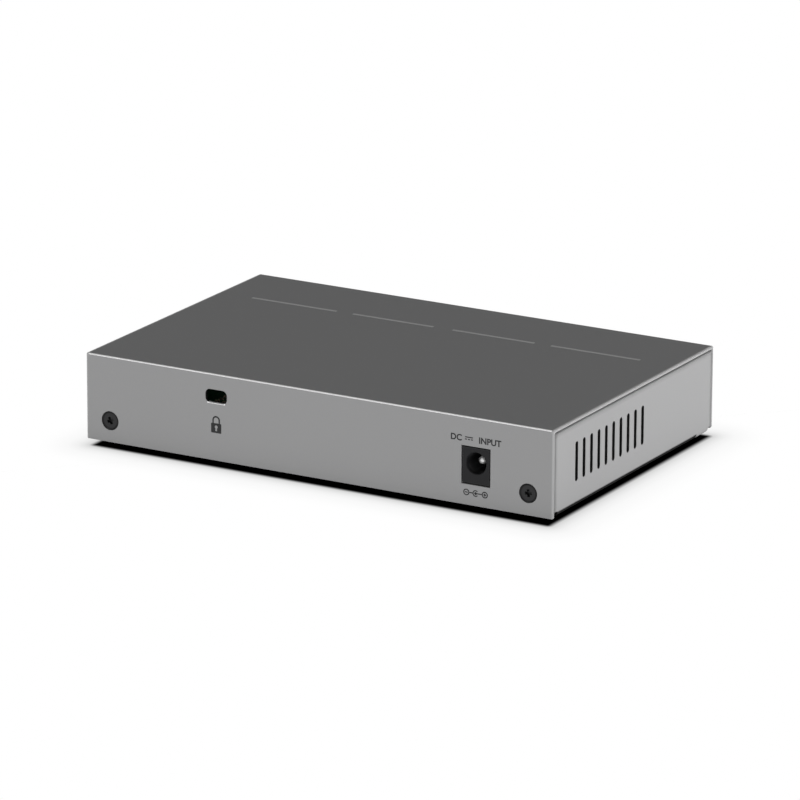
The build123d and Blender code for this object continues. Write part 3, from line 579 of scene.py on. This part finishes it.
class SWITCH_OT_sockets(bpy.types.Operator):
    """Finishes the socket blocks and the status LEDs"""

    bl_idname = "switch_looks.sockets"
    bl_label = "Finish the sockets"

    def execute(self, context):
        shield = metal_finish(
            "plated_shield", (0.56, 0.555, 0.54), 0.34, grain=0.16, patch=6.0, contrast=0.14, change=0.18, bump=0.006
        )
        housing = Finish(
            "socket_plastic", (0.026, 0.026, 0.028), 0.52, grain=0.14, patch=5.0, contrast=0.25, bump=0.02,
            **{"Specular IOR Level": 0.4},
        )
        contact = metal_finish(
            "gold_spring", (0.88, 0.66, 0.28), 0.24, grain=0.08, patch=1.2, contrast=0.12, change=0.12, bump=0.003,
            turn=ALONG_Y,
        )
        pipe = Finish(
            "clear_pipe", (0.86, 0.89, 0.88), 0.12, grain=0.6, patch=4.0, contrast=0.06, change=0.08, bump=0.004,
            **{"Transmission Weight": 0.75, "IOR": 1.49},
        )
        for side in BLOCK_SIDES:
            shield.dress(f"port_shield_{side}")
            housing.dress(f"port_housing_{side}")
            contact.dress(f"port_contacts_{side}")
            pipe.dress(f"link_light_pipes_{side}")
        housing.dress("status_led_holder")
        Finish(
            "led_chip", (0.78, 0.76, 0.55), 0.35, grain=0.2, patch=1.0, contrast=0.12, bump=0.01,
        ).dress("link_led_chips")
        for node, colour in (("power_led", (0.16, 0.5, 0.2)), ("poe_led", (0.72, 0.42, 0.1))):
            Finish(
                f"{node}_resin", colour, 0.16, grain=0.5, patch=1.5, contrast=0.16, change=0.06, bump=0.004,
                **{"Transmission Weight": 0.45, "IOR": 1.52},
            ).dress(node)
        return {"FINISHED"}


class SWITCH_OT_jack(bpy.types.Operator):
    """Finishes the power jack"""

    bl_idname = "switch_looks.jack"
    bl_label = "Finish the power jack"

    def execute(self, context):
        low, high = node_box("dc_jack_body")
        pin_radius = 1.25 * MM
        centre = Vector(((low.x + high.x) / 2, 0, node_box("dc_jack_pin")[0].z + pin_radius))
        bore = Vector((3.3, 0, 3.3)) * MM
        # Inside the bore the plastic is painted lighter than the face: painted light on the bore's inner wall
        Finish(
            "jack_plastic", (0.012, 0.012, 0.013), 0.5, grain=0.12, patch=4.0, contrast=0.22, bump=0.02,
            **{"Specular IOR Level": 0.2},
        ).rub(low, high, (0.03, 0.03, 0.031), reach=0.25, break_up=1.5).within(
            Vector((centre.x, low.y, centre.z)) - bore, Vector((centre.x, high.y - MM, centre.z)) + bore,
            (0.045, 0.045, 0.046), softness=0.5,
        ).dress("dc_jack_body")
        # Painted shade deep in the bore: the shaft of the pin is darkened and the spring and blade are a dark copy of
        # the metal, so only the tip of the pin is bright
        pin_low, pin_high = node_box("dc_jack_pin")
        tip_start = pin_high.y - 1.1 * MM
        for name, tone, metal, nodes in (
            ("jack_pin", 0.9, 0.7, ["dc_jack_pin"]),
            ("jack_spring", 0.16, 1.0, ["dc_jack_blade", "dc_jack_spring"]),
        ):
            metal_finish(
                name, (tone, tone, tone), 0.36, grain=0.1, patch=1.4, contrast=0.12, change=0.1, bump=0.003,
                turn=ALONG_Y, Metallic=metal,
            ).within(
                pin_low - Vector((MM, MM, MM)), Vector((pin_high.x + MM, tip_start, pin_high.z + MM)),
                (0.1, 0.1, 0.1), softness=0.3,
            ).dress(*nodes)
        return {"FINISHED"}


class SWITCH_OT_board(bpy.types.Operator):
    """Finishes the circuit board and what stands on it"""

    bl_idname = "switch_looks.board"
    bl_label = "Finish the board"

    def execute(self, context):
        board = Finish(
            "solder_mask", (0.014, 0.085, 0.035), 0.32, grain=0.5, patch=9.0, contrast=0.25, bump=0.01,
            **{"Coat Weight": 0.3, "Coat Roughness": 0.2},
        )
        tracks = put(
            board.tree,
            "ShaderNodeTexBrick",
            {"Vector": board.place, "Color1": (0, 0, 0, 1), "Color2": (0, 0, 0, 1), "Mortar": (1, 1, 1, 1),
             "Scale": 1.0, "Mortar Size": 0.2 * MM, "Brick Width": 7.2 * MM, "Row Height": 1.4 * MM},
        )
        board.colour(blend(board.tree, tracks.outputs["Color"], board.tint, (0.03, 0.16, 0.06, 1.0)))
        board.colour(blend(board.tree, board.facing_up(), (0.34, 0.29, 0.16, 1.0), board.tint))
        board.dress("circuit_board")
        metal_finish(
            "tinned_leads", (0.72, 0.71, 0.69), 0.3, grain=0.1, patch=2.0, contrast=0.16, change=0.15, bump=0.004
        ).dress("magnetics_leads", "crystal")
        Finish(
            "moulded_epoxy", (0.024, 0.024, 0.026), 0.62, grain=0.1, patch=6.0, contrast=0.3, bump=0.015,
        ).dress(*MAGNETICS, "switch_chip", "poe_controller_chip", "flash_chip", "port_surge_diodes",
                "rectifier_diode", "voltage_regulator")
        Finish(
            "gap_pad", (0.34, 0.4, 0.46), 0.8, grain=0.2, patch=3.0, contrast=0.12, bump=0.02,
        ).dress("thermal_pad")
        metal_finish(
            "extruded_aluminium", (0.66, 0.67, 0.68), 0.36, grain=0.2, patch=5.0, contrast=0.14, change=0.16,
            bump=0.01, turn=ALONG_Y,
        ).dress("heatsink")
        sleeve = Finish(
            "capacitor_sleeve", (0.018, 0.02, 0.045), 0.28, grain=0.4, patch=4.0, contrast=0.2, bump=0.01,
        )
        sleeve.colour(blend(sleeve.tree, sleeve.facing_up(), sleeve.tint, (0.6, 0.6, 0.61, 1.0)))
        sleeve.dress(*CAPACITORS)
        Finish(
            "ferrite", (0.1, 0.1, 0.11), 0.7, grain=0.14, patch=3.0, contrast=0.35, bump=0.04,
        ).dress("input_choke", "power_inductor_1", "power_inductor_2")
        Finish(
            "ceramic", (0.5, 0.42, 0.32), 0.45, grain=0.12, patch=1.5, contrast=0.18, bump=0.01,
        ).dress("input_fuse", "chip_parts")
        metal_finish(
            "turned_brass", (0.7, 0.53, 0.26), 0.3, grain=0.12, patch=2.0, contrast=0.14, change=0.12, bump=0.006
        ).dress("board_standoffs")
        metal_finish(
            "zinc_screw", (0.64, 0.65, 0.67), 0.3, grain=0.12, patch=2.0, contrast=0.16, change=0.16, bump=0.006
        ).dress("board_screws")
        return {"FINISHED"}


# Printed marks


def ink(name, colour):
    """The finish of a printed mark, shared by all marks of one colour."""
    return bpy.data.materials.get(name) or Finish(
        name, colour, 0.55, grain=0.16, patch=3.0, contrast=0.16, change=0.1, bump=0.004,
        **{"Specular IOR Level": 0.35},
    ).material


def wall_matrix(wall):
    """Turns a flat drawing so that it reads from outside a wall, with its first axis to the reader's right."""
    if wall == "rear":
        return Matrix(((-1, 0, 0), (0, 0, 1), (0, 1, 0))).to_4x4()
    return Matrix(((1, 0, 0), (0, 0, -1), (0, 1, 0))).to_4x4()


def lay_print(name, outlines, wall, at, film, material):
    """Closed flat shapes, given as loops with their holes, made a thin film on a wall at the point at."""
    curve = bpy.data.curves.new(name, "CURVE")
    curve.dimensions = "2D"
    curve.fill_mode = "BOTH"
    curve.extrude = film / 2
    for loop in outlines:
        spline = curve.splines.new("POLY")
        spline.points.add(len(loop) - 1)
        for point, (x, y) in zip(spline.points, loop):
            point.co = (x, y, 0, 1)
        spline.use_cyclic_u = True
    return film_mesh(name, curve, wall, at, film, material)


def lay_text(name, words, height, wall, at, look, material):
    """A short word or number as a thin film on a wall; at is the middle of its foot."""
    curve = bpy.data.curves.new(name, "FONT")
    curve.body = words
    curve.align_x = "CENTER"
    curve.size = height / CAPITAL_SHARE
    curve.offset = look.boldness
    curve.extrude = look.film / 2
    curve.resolution_u = 4
    return film_mesh(name, curve, wall, at, look.film, material)


def film_mesh(name, curve, wall, at, film, material):
    """Makes a curve a mesh that lies on a wall, with the object at the origin."""
    holder = bpy.data.objects.new(f"{name}_drawing", curve)
    bpy.context.collection.objects.link(holder)
    bpy.context.view_layer.update()
    mesh = bpy.data.meshes.new_from_object(holder.evaluated_get(bpy.context.evaluated_depsgraph_get()))
    bpy.data.objects.remove(holder)
    out = Vector((0, 1, 0)) if wall == "rear" else Vector((0, -1, 0))
    mesh.transform(Matrix.Translation(Vector(at) + out * film / 2) @ wall_matrix(wall))
    mesh.materials.clear()
    mesh.materials.append(material)
    piece = bpy.data.objects.new(name, mesh)
    bpy.context.collection.objects.link(piece)
    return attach(piece, "root")


def arc(middle, radius, start, end, steps=28):
    """Points along a circle between two angles in degrees."""
    return [
        (
            middle[0] + radius * math.cos(math.radians(start + (end - start) * step / steps)),
            middle[1] + radius * math.sin(math.radians(start + (end - start) * step / steps)),
        )
        for step in range(steps + 1)
    ]


def disc(middle, radius):
    """A full circle as one loop."""
    return arc(middle, radius, 0, 360)[:-1]


def bar(left, bottom, right, top):
    """A rectangle as one loop."""
    return [(left, bottom), (right, bottom), (right, top), (left, top)]


def plus(middle, reach, half):
    """A plus sign as one loop."""
    x, y = middle
    quarter = [(reach, -half), (reach, half), (half, half)]
    turns = ((1, 0), (0, 1), (-1, 0), (0, -1))
    return [(x + a * c - b * d, y + a * d + b * c) for c, d in turns for a, b in quarter]


def rounded(left, bottom, right, top, radius):
    """A rectangle with round corners as one loop."""
    corners = (
        ((right - radius, bottom + radius), 270),
        ((right - radius, top - radius), 0),
        ((left + radius, top - radius), 90),
        ((left + radius, bottom + radius), 180),
    )
    return [point for middle, start in corners for point in arc(middle, radius, start, start + 90, 6)]


def in_metres(loops):
    return [[(x * MM, y * MM) for x, y in loop] for loop in loops]


class SWITCH_OT_top_lines(bpy.types.Operator):
    """Prints the row of thin lines along the top"""

    bl_idname = "switch_looks.top_lines"
    bl_label = "Print the top lines"

    def execute(self, context):
        look = context.scene.switch_print
        tree = bpy.data.node_groups.new("Row of lines", "GeometryNodeTree")
        inputs = {}
        tree.interface.new_socket(name="Geometry", in_out="INPUT", socket_type="NodeSocketGeometry")
        for label, kind in (
            ("Count", "NodeSocketInt"),
            ("First", VECTOR),
            ("Pitch", FLOAT),
            ("Outer length", FLOAT),
            ("Inner length", FLOAT),
            ("Width", FLOAT),
            ("Film", FLOAT),
        ):
            inputs[label] = tree.interface.new_socket(name=label, in_out="INPUT", socket_type=kind).identifier
        tree.interface.new_socket(name="Geometry", in_out="OUTPUT", socket_type="NodeSocketGeometry")
        given, result = tree.nodes.new("NodeGroupInput"), tree.nodes.new("NodeGroupOutput")
        step = put(tree, "ShaderNodeCombineXYZ", {0: given.outputs["Pitch"]})
        row = put(
            tree,
            "GeometryNodeMeshLine",
            {"Count": given.outputs["Count"], "Start Location": given.outputs["First"], "Offset": step.outputs[0]},
        )
        index = put(tree, "GeometryNodeInputIndex").outputs[0]
        last = maths(tree, "SUBTRACT", given.outputs["Count"], 1.0)
        ends = [maths(tree, "COMPARE", index, end, 0.1) for end in (0.0, last)]
        is_end = maths(tree, "MAXIMUM", *ends)
        spread = maths(tree, "SUBTRACT", given.outputs["Outer length"], given.outputs["Inner length"])
        reach = maths(tree, "MULTIPLY_ADD", is_end, spread, given.outputs["Inner length"])
        size = put(tree, "ShaderNodeCombineXYZ", {0: reach, 1: given.outputs["Width"], 2: given.outputs["Film"]})
        block = put(tree, "GeometryNodeMeshCube", {"Size": (1, 1, 1)})
        copies = put(
            tree,
            "GeometryNodeInstanceOnPoints",
            {"Points": row.outputs[0], "Instance": block.outputs[0], "Scale": size.outputs[0]},
        )
        joined = put(tree, "GeometryNodeRealizeInstances", {0: copies.outputs[0]})
        painted = put(
            tree, "GeometryNodeSetMaterial", {"Geometry": joined.outputs[0], "Material": ink("pale_ink", look.pale)}
        )
        tree.links.new(painted.outputs[0], result.inputs[0])

        piece = bpy.data.objects.new("top_lines", bpy.data.meshes.new("top_lines"))
        context.collection.objects.link(piece)
        modifier = piece.modifiers.new("Row of lines", "NODES")
        modifier.node_group = tree
        count, row_y = 4, -25.8 * MM
        values = {
            "Count": count,
            "First": ((1 - count) / 2 * look.line_pitch, row_y, node_box("top_cover")[1].z + look.film / 2),
            "Pitch": look.line_pitch,
            "Outer length": look.outer_line,
            "Inner length": look.inner_line,
            "Width": look.line_width,
            "Film": look.film,
        }
        for label, value in values.items():
            modifier[inputs[label]] = value
        context.view_layer.update()
        mesh = bpy.data.meshes.new_from_object(piece.evaluated_get(context.evaluated_depsgraph_get()))
        piece.modifiers.clear()
        piece.data = mesh
        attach(piece, "root")
        return {"FINISHED"}


class SWITCH_OT_rear_marks(bpy.types.Operator):
    """Prints the marks of the rear wall: padlock, polarity and direct current"""

    bl_idname = "switch_looks.rear_marks"
    bl_label = "Print the rear marks"

    def execute(self, context):
        look = context.scene.switch_print
        dark = ink("dark_ink", look.dark)
        cover_high = node_box("top_cover")[1]
        rear = cover_high.y
        base = node_box("base_tray")[0].z
        half = look.stroke / MM / 2
        shackle, inner, bow, foot = 1.3, 0.82, (0, 3.95), 3.02
        eye, eye_radius, slit, slit_foot = (0, 1.85), 0.5, 0.32, 0.6
        padlock = [
            rounded(-1.75, 0, 1.75, 3.0, 0.3),
            arc(bow, shackle, 180, 0) + [(shackle, foot), (inner, foot)]
            + arc(bow, inner, 0, 180) + [(-inner, foot), (-shackle, foot)],
            arc(eye, eye_radius, -60, 240) + [(-slit, slit_foot), (slit, slit_foot)],
        ]
        slot_x = cover_high.x - context.scene.switch_case.slot_inset
        lock_foot, polarity_z, letter_foot = base + 8.5 * MM, base + 3.8 * MM, base + 19.1 * MM
        lay_print("lock_mark", in_metres(padlock), "rear", (slot_x, rear, lock_foot), look.film, dark)
        pitch, ring, dot, sign = 3.05, 1.0, 0.42, 0.45
        gap_angle, mouth_angle, gap = 42, 25, 0.04
        polarity = [
            disc((-pitch, 0), ring),
            disc((-pitch, 0), ring - 2 * half),
            bar(-pitch - sign, -half, -pitch + sign, half),
            bar(-pitch + ring + gap, -half, -ring - gap, half),
            arc((0, 0), ring, gap_angle, 360 - gap_angle) + arc((0, 0), ring - 2 * half, 360 - gap_angle, gap_angle),
            arc((0, 0), dot, mouth_angle, 360 - mouth_angle)
            + [(dot, -half), (pitch - ring - gap, -half), (pitch - ring - gap, half), (dot, half)],
            disc((pitch, 0), ring),
            disc((pitch, 0), ring - 2 * half),
            plus((pitch, 0), 0.47, half),
        ]
        jack_x = sum(corner.x for corner in node_box("dc_jack_body")) / 2
        lay_print("polarity_mark", in_metres(polarity), "rear", (jack_x, rear, polarity_z), look.film, dark)
        for name, words, shift in (("current_mark_left", "DC", 6.5), ("current_mark_right", "INPUT", -4.6)):
            lay_text(name, words, look.letter_height, "rear", (jack_x + shift * MM, rear, letter_foot), look, dark)
        line_half, line_foot, dash_half, dash_foot, dash_pitch = 1.3, 1.15, 0.32, 0.5, 0.98
        current = [bar(-line_half, line_foot, line_half, line_foot + half * 2)]
        for x in (-dash_pitch, 0, dash_pitch):
            current.append(bar(x - dash_half, dash_foot, x + dash_half, dash_foot + half * 2))
        symbol_x = jack_x + 2.3 * MM
        lay_print("current_symbol", in_metres(current), "rear", (symbol_x, rear, letter_foot), look.film, dark)
        return {"FINISHED"}


class SWITCH_OT_front_marks(bpy.types.Operator):
    """Prints the numbers over the sockets and the marks beside the status LEDs"""

    bl_idname = "switch_looks.front_marks"
    bl_label = "Print the front marks"

    def execute(self, context):
        look = context.scene.switch_print
        dark = ink("dark_ink", look.dark)
        front = node_box("top_cover")[0].y
        figure, over_block, word, beside_led = 2.0 * MM, 1.6 * MM, 1.4 * MM, 5.4 * MM
        number = 0
        for side in BLOCK_SIDES:
            low, high = node_box(f"port_shield_{side}")
            middle = (low.x + high.x) / 2
            for step in (-1.5, -0.5, 0.5, 1.5):
                number += 1
                lay_text(
                    f"port_number_{number}", str(number), figure, "front",
                    (middle + step * look.port_pitch, front, high.z + over_block), look, dark,
                )
        for node, words in (("power_led", "PWR"), ("poe_led", "PoE")):
            low, high = node_box(node)
            lay_text(
                f"{node}_mark", words, word, "front",
                ((low.x + high.x) / 2 - beside_led, front, (low.z + high.z - word) / 2), look, dark,
            )
        return {"FINISHED"}


# Stage


def aim(thing, place, target):
    """Puts a lamp at a place and points it at a target."""
    heading = Vector(target) - Vector(place)
    thing.matrix_world = Matrix.Translation(Vector(place)) @ heading.to_track_quat("-Z", "Y").to_matrix().to_4x4()


def panel_lamp(name, place, target, width, height, power, glints=False):
    """A soft rectangular lamp that the camera doesn't see, nor shiny faces without glints."""
    light = bpy.data.lights.new(name, "AREA")
    light.shape = "RECTANGLE"
    light.size = width
    light.size_y = height
    light.energy = power
    lamp = bpy.data.objects.new(name, light)
    bpy.context.collection.objects.link(lamp)
    aim(lamp, place, target)
    lamp.visible_camera = False
    lamp.visible_glossy = glints
    return lamp


class SWITCH_OT_stage(bpy.types.Operator):
    """Sets the floor, the lamps, the air and the camera"""

    bl_idname = "switch_looks.stage"
    bl_label = "Set the stage"

    def execute(self, context):
        look = context.scene.switch_stage
        self.set_floor(context, look)
        middle = (0, 0, 0.014)
        panel_lamp("side_panel", (-1.5, 0.1, 0.17), middle, 1.1, 0.3, look.side_panel)
        panel_lamp("rear_panel", (-0.1, 1.5, 0.17), middle, 1.1, 0.3, look.rear_panel)
        panel_lamp("front_panel", (-0.5, -1.4, 0.17), middle, 0.9, 0.3, look.front_panel)
        panel_lamp("far_panel", (1.5, 0.1, 0.17), middle, 1.1, 0.3, look.far_panel)
        panel_lamp("rim_strip", (0.62, 1.0, 0.72), middle, 0.9, 0.1, look.rim_strip, glints=True)
        self.set_air(context, look)
        self.set_camera(context)
        context.scene.view_settings.view_transform = "Standard"
        return {"FINISHED"}

    def set_floor(self, context, look):
        """A floor that shows a soft shadow round the case, and that can be seen through from below."""
        half = look.floor_half
        mesh = bpy.data.meshes.new("floor")
        mesh.from_pydata([(-half, -half, 0), (half, -half, 0), (half, half, 0), (-half, half, 0)], [], [(0, 1, 2, 3)])
        floor = bpy.data.objects.new("floor", mesh)
        context.collection.objects.link(floor)
        material = bpy.data.materials.new("studio_floor")
        material.use_nodes = True
        tree = material.node_tree
        tree.nodes.clear()
        # How far a point of the floor lies outside the foot of the case
        foot_low, foot_high = node_box("top_cover")
        centre = (foot_low + foot_high) / 2 - Vector((look.shadow_shift, 0, 0))
        reach = (foot_high - foot_low) / 2 - Vector((look.shadow_inset_x, look.shadow_inset_y, 0))
        place = put(tree, "ShaderNodeNewGeometry").outputs["Position"]
        moved = vectors(tree, "SUBTRACT", place, (centre.x, centre.y, 0))
        across, along = put(tree, "ShaderNodeSeparateXYZ", {0: moved}).outputs[:2]
        skewed = maths(tree, "MULTIPLY_ADD", across, -look.shadow_skew, reach.y)
        edge = put(tree, "ShaderNodeCombineXYZ", {0: reach.x, 1: skewed}).outputs[0]
        beyond = vectors(tree, "SUBTRACT", vectors(tree, "ABSOLUTE", moved), edge)
        outside = vectors(tree, "MAXIMUM", beyond, (0, 0, 0))
        distance = vectors(tree, "LENGTH", outside)
        away = maths(tree, "DIVIDE", distance, look.shadow_reach)
        open_sky = put(tree, "ShaderNodeAmbientOcclusion", {"Distance": 20 * MM}, samples=32).outputs["AO"]
        shade = maths(tree, "MULTIPLY", ramp(tree, away, SOFT_SHADOW), ramp(tree, open_sky, UNDER_CASE))
        shown = put(tree, "ShaderNodeEmission", {"Color": shade})
        # The dark strip of the floor that the walls see, wider before the vented sides
        taper = -look.bounce_taper * look.bounce_squeeze / reach.y
        narrowed = maths(tree, "MULTIPLY_ADD", along, taper, look.bounce_squeeze)
        squeeze = put(tree, "ShaderNodeCombineXYZ", {0: narrowed, 1: 1.0}).outputs[0]
        bounce = vectors(tree, "LENGTH", vectors(tree, "MULTIPLY", outside, squeeze))
        glow = maths(tree, "MULTIPLY", maths(tree, "DIVIDE", bounce, look.bounce_reach, clamp=True), look.floor_glow)
        under = maths(tree, "MULTIPLY", maths(tree, "COMPARE", distance, 0.0, 0.1 * MM), look.under_glow)
        lit = put(tree, "ShaderNodeEmission", {"Color": maths(tree, "MAXIMUM", glow, under)})
        path = put(tree, "ShaderNodeLightPath")
        mirrored = maths(tree, "MAXIMUM", path.outputs["Is Glossy Ray"], path.outputs["Is Transmission Ray"])
        seen = maths(tree, "MAXIMUM", path.outputs["Is Camera Ray"], mirrored)
        mixed = put(tree, "ShaderNodeMixShader", {0: seen, 1: lit.outputs[0], 2: shown.outputs[0]})
        # From below the floor lets the case be seen
        behind = put(tree, "ShaderNodeNewGeometry").outputs["Backfacing"]
        clear = put(tree, "ShaderNodeBsdfTransparent")
        one_way = put(tree, "ShaderNodeMixShader", {0: behind, 1: mixed.outputs[0], 2: clear.outputs[0]})
        put(tree, "ShaderNodeOutputMaterial", {"Surface": one_way.outputs[0]})
        mesh.materials.append(material)

    def set_air(self, context, look):
        """Pale at the horizon, dim overhead."""
        world = bpy.data.worlds.new("studio_air")
        context.scene.world = world
        world.use_nodes = True
        tree = world.node_tree
        tree.nodes.clear()
        direction = put(tree, "ShaderNodeTexCoord").outputs["Generated"]
        height = put(tree, "ShaderNodeSeparateXYZ", {0: direction}).outputs[2]
        fade = put(
            tree,
            "ShaderNodeMapRange",
            {"Value": height, "From Min": 0.07, "From Max": 0.14, "To Min": 1.0, "To Max": look.air},
        )
        background = put(tree, "ShaderNodeBackground", {"Color": fade.outputs[0]})
        put(tree, "ShaderNodeOutputWorld", {"Surface": background.outputs[0]})

    def set_camera(self, context):
        """The photograph's view: a long lens from behind the vented side."""
        camera = bpy.data.cameras.new("photo_camera")
        camera.sensor_width = 36.0
        camera.lens = 282.76
        camera.clip_end = 60.0
        right = Vector((-0.86963159, -0.49368416, 0.00410462))
        down = Vector((-0.1457562, 0.24879045, -0.95752725))
        forward = Vector((0.47169484, -0.83329423, -0.28831356))
        place = Vector((-0.886368, 1.566173, 0.554575))
        holder = bpy.data.objects.new("photo_camera", camera)
        context.collection.objects.link(holder)
        turn = Matrix((right, -down, -forward)).transposed().to_4x4()
        holder.matrix_world = Matrix.Translation(place) @ turn
        context.scene.camera = holder


class SWITCH_PT_panel(bpy.types.Panel):
    """Lists the steps and their settings"""

    bl_idname = "SWITCH_PT_panel"
    bl_label = "Network switch"
    bl_space_type = "VIEW_3D"
    bl_region_type = "UI"
    bl_category = "Switch"

    def draw(self, context):
        for step in STEPS:
            self.layout.operator(step.bl_idname)
        for holder in (context.scene.switch_case, context.scene.switch_print, context.scene.switch_stage):
            for name in holder.__annotations__:
                self.layout.prop(holder, name)


SETTINGS = {"switch_case": CaseLook, "switch_print": PrintLook, "switch_stage": StageLook}
STEPS = (
    SWITCH_OT_case,
    SWITCH_OT_fixings,
    SWITCH_OT_sockets,
    SWITCH_OT_jack,
    SWITCH_OT_board,
    SWITCH_OT_top_lines,
    SWITCH_OT_rear_marks,
    SWITCH_OT_front_marks,
    SWITCH_OT_stage,
)


def register():
    for group in SETTINGS.values():
        bpy.utils.register_class(group)
    for step in STEPS:
        bpy.utils.register_class(step)
    bpy.utils.register_class(SWITCH_PT_panel)
    for name, group in SETTINGS.items():
        setattr(bpy.types.Scene, name, bpy.props.PointerProperty(type=group))


def unregister():
    for name in SETTINGS:
        delattr(bpy.types.Scene, name)
    for step in (SWITCH_PT_panel, *reversed(STEPS), *reversed(SETTINGS.values())):
        bpy.utils.unregister_class(step)


def main():
    register()
    for step in STEPS:
        family, name = step.bl_idname.split(".")
        getattr(getattr(bpy.ops, family), name)()


if __name__ == "__main__":
    main()
